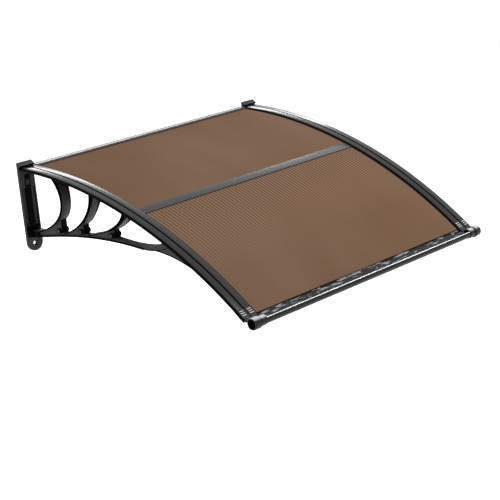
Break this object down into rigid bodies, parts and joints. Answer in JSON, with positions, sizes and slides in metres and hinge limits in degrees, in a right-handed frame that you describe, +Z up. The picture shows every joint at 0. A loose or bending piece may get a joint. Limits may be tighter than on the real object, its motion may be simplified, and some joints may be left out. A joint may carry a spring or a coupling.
{
  "type": "door canopy",
  "caption": "Wall-mounted door canopy: fluted bronze sheets on a shallow arch between black moulded brackets, with dark cover strips and a front rain gutter.",
  "frame": {"origin": "on the wall plane, in the middle of the width, level with the top of the arch at the wall", "axes": "+Z up, the canopy reaches out from the wall along -Y, X runs along the wall; the wall is the plane y = 0"},
  "size_m": [1.0048, 0.9185, 0.3695],
  "materials": {
    "bronze_sheet": "glossy twin-wall polycarbonate, bronze tint, flutes along the arch",
    "dark_metal": "dark anodised, satin gloss",
    "grey_metal": "satin anodised",
    "black_plastic": "moulded, fine grain, slight sheen",
    "seal_rubber": "matt",
    "screw_steel": "zinc plated"
  },
  "bodies": {
    "root": {"rear_sheet": "bronze_sheet", "front_sheet": "bronze_sheet", "middle_bar": "grey_metal", "rear_rail": "dark_metal", "wall_seal": "seal_rubber", "front_gutter": "dark_metal", "left_bracket": "black_plastic", "left_cover_strip": "dark_metal", "left_wall_cap": "black_plastic", "left_front_clip": "black_plastic", "left_gutter_outlet": "black_plastic", "left_screw_1": "screw_steel", "left_screw_2": "screw_steel", "left_screw_3": "screw_steel", "left_screw_4": "screw_steel", "left_screw_5": "screw_steel", "left_screw_6": "screw_steel", "right_bracket": "black_plastic", "right_cover_strip": "dark_metal", "right_wall_cap": "black_plastic", "right_front_clip": "black_plastic", "right_gutter_outlet": "black_plastic", "right_screw_1": "screw_steel", "right_screw_2": "screw_steel", "right_screw_3": "screw_steel", "right_screw_4": "screw_steel", "right_screw_5": "screw_steel", "right_screw_6": "screw_steel"}
  },
  "joints": []
}
